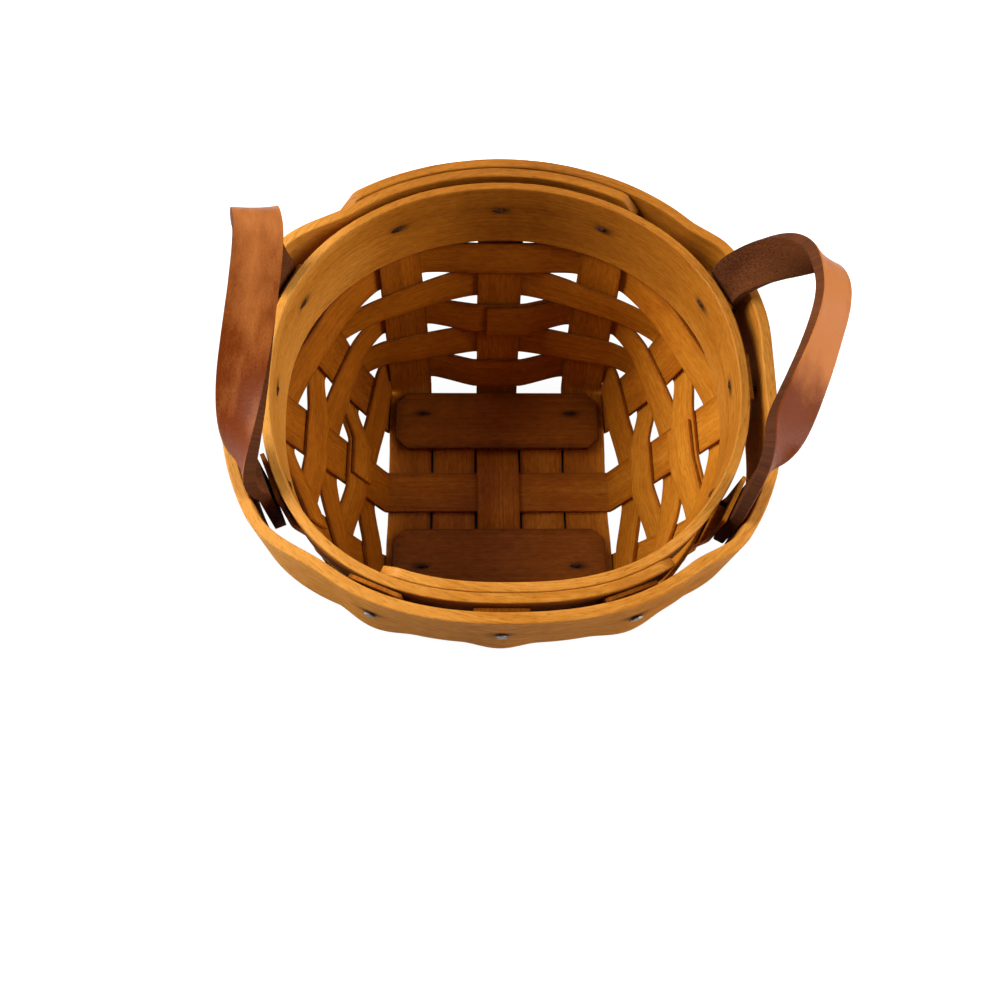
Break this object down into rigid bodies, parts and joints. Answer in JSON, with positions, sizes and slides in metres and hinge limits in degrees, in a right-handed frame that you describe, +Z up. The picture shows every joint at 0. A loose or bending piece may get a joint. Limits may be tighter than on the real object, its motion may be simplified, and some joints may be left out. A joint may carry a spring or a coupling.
{
  "type": "small woven splint basket",
  "caption": "Small open splint basket with a square plaited base, woven wall, oval rim of bent wooden bands and a leather ear handle at each end; it holds small things.",
  "frame": {"origin": "on the table, under the middle of the whole object's box", "axes": "+Z up; +X to the right, across both ears; -Y to the front"},
  "size_m": [0.1514, 0.1308, 0.1025],
  "materials": {
    "splint_wood": "stained, satin",
    "band_wood": "stained, satin",
    "board_wood": "stained, satin",
    "ear_leather": "vegetable tanned, smooth outside and rough inside",
    "tack_steel": "dull"
  },
  "bodies": {
    "basket": {"floor_filler_left": "splint_wood", "floor_filler_right": "splint_wood", "weaver_row_1": "splint_wood", "weaver_row_2": "splint_wood", "weaver_row_3": "splint_wood", "weaver_row_4": "splint_wood", "weaver_row_5": "splint_wood", "rim_tack_back_left": "tack_steel", "rim_tack_back_middle": "tack_steel", "rim_tack_back_right": "tack_steel", "rim_tack_right_back": "tack_steel", "rim_tack_right_middle": "tack_steel", "rim_tack_right_front": "tack_steel", "rim_tack_front_right": "tack_steel", "rim_tack_front_middle": "tack_steel", "rim_tack_front_left": "tack_steel", "rim_tack_left_front": "tack_steel", "rim_tack_left_middle": "tack_steel", "rim_tack_left_back": "tack_steel", "inner_rim_band": "band_wood", "outer_rim_band": "band_wood", "board_tack_front_left": "tack_steel", "board_tack_front_right": "tack_steel", "base_board_front": "board_wood", "board_tack_back_left": "tack_steel", "board_tack_back_right": "tack_steel", "base_board_back": "board_wood", "lengthwise_splint_left": "splint_wood", "lengthwise_splint_middle": "splint_wood", "lengthwise_splint_right": "splint_wood", "crosswise_splint_front": "splint_wood", "crosswise_splint_middle": "splint_wood", "crosswise_splint_back": "splint_wood", "left_ear_root_front": "ear_leather", "left_ear_root_back": "ear_leather", "right_ear_root_front": "ear_leather", "right_ear_root_back": "ear_leather"},
    "left_ear": {"left_ear_loop": "ear_leather"},
    "right_ear": {"right_ear_loop": "ear_leather"}
  },
  "joints": [
    {"name": "left_ear_bend", "type": "hinge", "parent": "basket", "child": "left_ear", "pos_m": [-0.06389, -0.00168, 0.0735], "axis": [0.0157, 0.9999, 0], "range_deg": [-20, 50], "stiffness_Nm_per_rad": 0.05},
    {"name": "right_ear_bend", "type": "hinge", "parent": "basket", "child": "right_ear", "pos_m": [0.0488, -0.00524, 0.0735], "axis": [0.0403, 0.9992, 0], "range_deg": [-50, 20], "stiffness_Nm_per_rad": 0.05}
  ]
}
